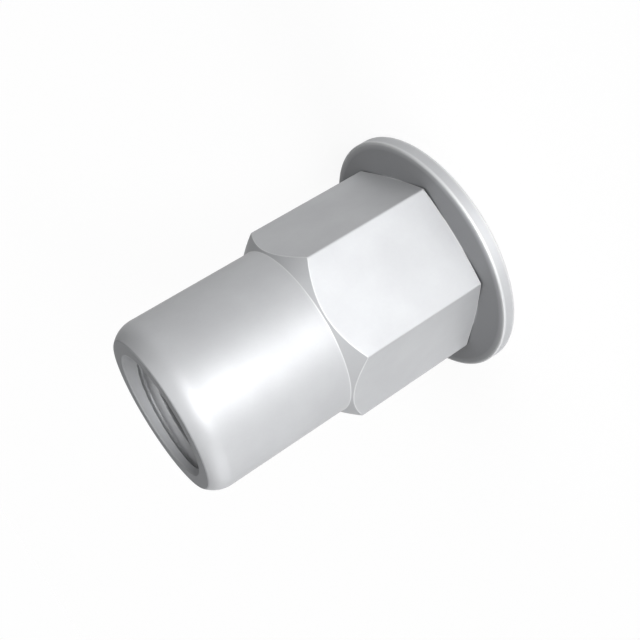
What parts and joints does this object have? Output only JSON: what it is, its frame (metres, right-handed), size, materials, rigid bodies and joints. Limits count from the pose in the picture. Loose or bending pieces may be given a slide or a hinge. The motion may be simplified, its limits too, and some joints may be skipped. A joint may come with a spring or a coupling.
{
  "type": "half hex rivet nut",
  "caption": "Blind rivet nut: thin round flange, hexagonal body that cones down to a round tube with a rounded open end, and a stepped bore tapped near that end.",
  "frame": {"origin": "centre of the flange's outer face, which is the face that the nut stands on", "axes": "+Z along the axis, from the flange towards the open end of the tube; two hexagon corners lie on X"},
  "size_m": [0.0126, 0.0126, 0.016],
  "materials": {
    "zinc_steel": "bright zinc plating on cold-formed steel, satin"
  },
  "bodies": {
    "root": {"rivet_nut": "zinc_steel"}
  },
  "joints": []
}
